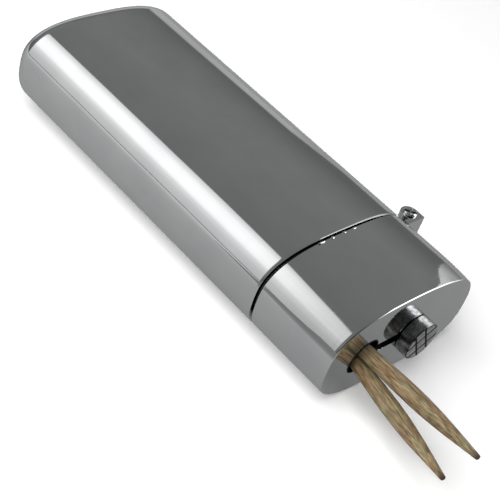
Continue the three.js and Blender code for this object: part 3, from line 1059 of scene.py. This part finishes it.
def board_glow_and_shadow(tree):
    """Glow of the board: pale far out on the left, greyer towards the dispenser as a painted shadow, a
    little paler beside the case.
    """
    place = place_of(tree)
    across = add(tree, "MapRange", {"Value": place["X"], "From Min": -0.2, "From Max": 0.05})
    tone = add(
        tree,
        "ValToRGB",
        {"Fac": across.outputs["Result"]},
        stops=[
            (0, grey(0.64)),
            (0.45, grey(0.58)),
            (0.56, grey(0.48)),
            (0.64, grey(0.45)),
            (0.7, grey(0.42)),
            (0.735, grey(0.36)),
            (0.77, grey(0.21)),
            (0.83, grey(0.28)),
            (0.92, grey(0.335)),
        ],
    )
    beside = add(
        tree,
        "MapRange",
        {"Value": place["Y"], "From Min": -0.015, "From Max": 0.02, "To Min": 1, "To Max": 1.12},
    )
    return product(tree, tone.outputs["Color"], beside.outputs["Result"])


# A grey board lies just over the table and glows. Only the polished steel sees it, so the steel stays
# grey
# above a white table: a painted reflection of the floor, with a painted shadow towards the dispenser.
bpy.ops.object.select_all(action="DESELECT")
bpy.ops.mesh.primitive_plane_add(size=1, location=(-0.1, 0, 0.0004))
board = open_piece("grey_board")
close_piece()
board.data.materials.append(glowing("board_painted_glow", board_glow_and_shadow))
only_mirrored(board)


def blade_tone(tree):
    """Dark, and a little paler towards the table."""
    fade = {"From Min": 0.001, "From Max": 0.007, "To Min": 0.36, "To Max": 0.24}
    return add(tree, "MapRange", {"Value": place_of(tree)["Z"], **fade}).outputs["Result"]


# A dark blade of card stands on the left, glowing dimly and seen only by the steel. The head's side
# mirrors it as a painted dark line that thins towards the seam.
BLADE_X = -0.049
# Its outline past the straight part: the Y, the top and the bottom, in millimetres.
BLADE_OUTLINE = [
    (-20, 17, 0.4),
    (-17.5, 13.9, 0.5),
    (-13.5, 12.1, 1.2),
    (-9, 10.7, 2.6),
    (-3, 8.2, 4.4),
    (6, 6.3, 5.4),
]
bpy.ops.object.select_all(action="DESELECT")
bpy.ops.mesh.primitive_plane_add(size=1, location=(BLADE_X, -0.06, 0.0087), rotation=(0, math.pi / 2, 0))
bpy.context.object.scale = (0.0166, 0.08, 1)
blade = open_piece("dark_blade")
bpy.ops.mesh.select_all(action="DESELECT")
bpy.ops.mesh.select_mode(type="VERT")
bpy.ops.object.mode_set(mode="OBJECT")
for vertex in blade.data.vertices:
    vertex.select = vertex.co.y > -0.04
bpy.ops.object.mode_set(mode="EDIT")
for (y, top, bottom), (next_y, next_top, next_bottom) in zip(BLADE_OUTLINE, BLADE_OUTLINE[1:]):
    middle, next_middle = (top + bottom) / 2, (next_top + next_bottom) / 2
    bpy.ops.mesh.extrude_region_move(
        TRANSFORM_OT_translate={"value": (0, (next_y - y) * MM, (next_middle - middle) * MM)}
    )
    bpy.ops.transform.resize(
        value=(1, 1, (next_top - next_bottom) / (top - bottom)),
        center_override=(BLADE_X, next_y * MM, next_middle * MM),
    )
close_piece()
blade.data.materials.append(glowing("blade_painted_glow", blade_tone))
only_mirrored(blade)

world = bpy.data.worlds.new("grey_room")
world.use_nodes = True
room = world.node_tree
sight = add(room, "SeparateXYZ", {"Vector": add(room, "TexCoord", {}).outputs["Generated"]}).outputs
walls = add(
    room,
    "ValToRGB",
    {"Fac": sight["Z"]},
    stops=[(0, grey(0.143)), (0.26, grey(0.152)), (0.56, grey(0.224)), (1, grey(0.181))],
)
# Low on the right the room is pale. Towards the far end its pale part is brighter and reaches higher.
far_rise = add(
    room,
    "ValToRGB",
    {"Fac": sight["Y"]},
    stops=[(0.43, grey(0)), (0.48, grey(0.17)), (0.66, grey(0.215))],
)
above = add(room, "Math", {0: sight["Z"], 1: far_rise.outputs["Color"]}, operation="SUBTRACT")
low = add(
    room,
    "MapRange",
    {"Value": above.outputs["Value"], "From Min": 0, "From Max": 0.045, "To Min": 1, "To Max": 0},
)
on_right = add(room, "MapRange", {"Value": sight["X"], "From Min": -0.1, "From Max": 0.1})
pale = product(room, low.outputs["Result"], on_right.outputs["Result"])
pale_tone = add(
    room,
    "MapRange",
    {"Value": sight["Y"], "From Min": 0.43, "From Max": 0.48, "To Min": 0.295, "To Max": 0.486},
).outputs["Result"]
tone = add(room, "Mix", {0: pale, 6: walls.outputs["Color"], 7: pale_tone}, data_type="RGBA")
# Behind the camera the room is dark.
behind = add(room, "MapRange", {"Value": sight["Y"], "From Min": -0.15, "From Max": -0.35})
upward = add(room, "MapRange", {"Value": sight["Z"], "From Min": 0.15, "From Max": 0.35})
leftward = add(room, "MapRange", {"Value": sight["X"], "From Min": 0.4, "From Max": 0.1})
high_behind = product(room, behind.outputs["Result"], upward.outputs["Result"])
dark = product(room, high_behind, leftward.outputs["Result"])
dimmed = add(room, "Mix", {0: dark, 6: tone.outputs[2], 7: grey(0.012)}, data_type="RGBA")
room.links.new(dimmed.outputs[2], room.nodes["Background"].inputs["Color"])
bpy.context.scene.world = world

softbox = bpy.data.lights.new("overhead_softbox", "AREA")
softbox.shape, softbox.size, softbox.energy = "DISK", 0.55, 2.7
softbox_lamp = bpy.data.objects.new("overhead_softbox", softbox)
bpy.context.scene.collection.objects.link(softbox_lamp)
softbox_lamp.location = (-0.24, -0.02, 0.36)
softbox_lamp.rotation_euler = softbox_lamp.location.to_track_quat("Z", "Y").to_euler()
softbox_lamp.visible_glossy = False

# Camera: solved from the outlines of the case, the seam and the end face in the photograph.
TOWARDS_RIGHT, DOWNWARDS, ROLL = 55.057, 39.506, 20.209
camera = bpy.data.cameras.new("camera")
camera.lens, camera.sensor_width, camera.clip_start = 86.37, 36, 0.01
camera_stand = bpy.data.objects.new("camera", camera)
bpy.context.scene.collection.objects.link(camera_stand)
camera_stand.matrix_world = (
    Matrix.Translation((-0.115836, -0.089125, 0.115706))
    @ turn_about("Z", -TOWARDS_RIGHT)
    @ turn_about("X", 90 - DOWNWARDS)
    @ turn_about("Z", ROLL)
)
bpy.context.scene.camera = camera_stand
bpy.context.scene.view_settings.view_transform = "Standard"
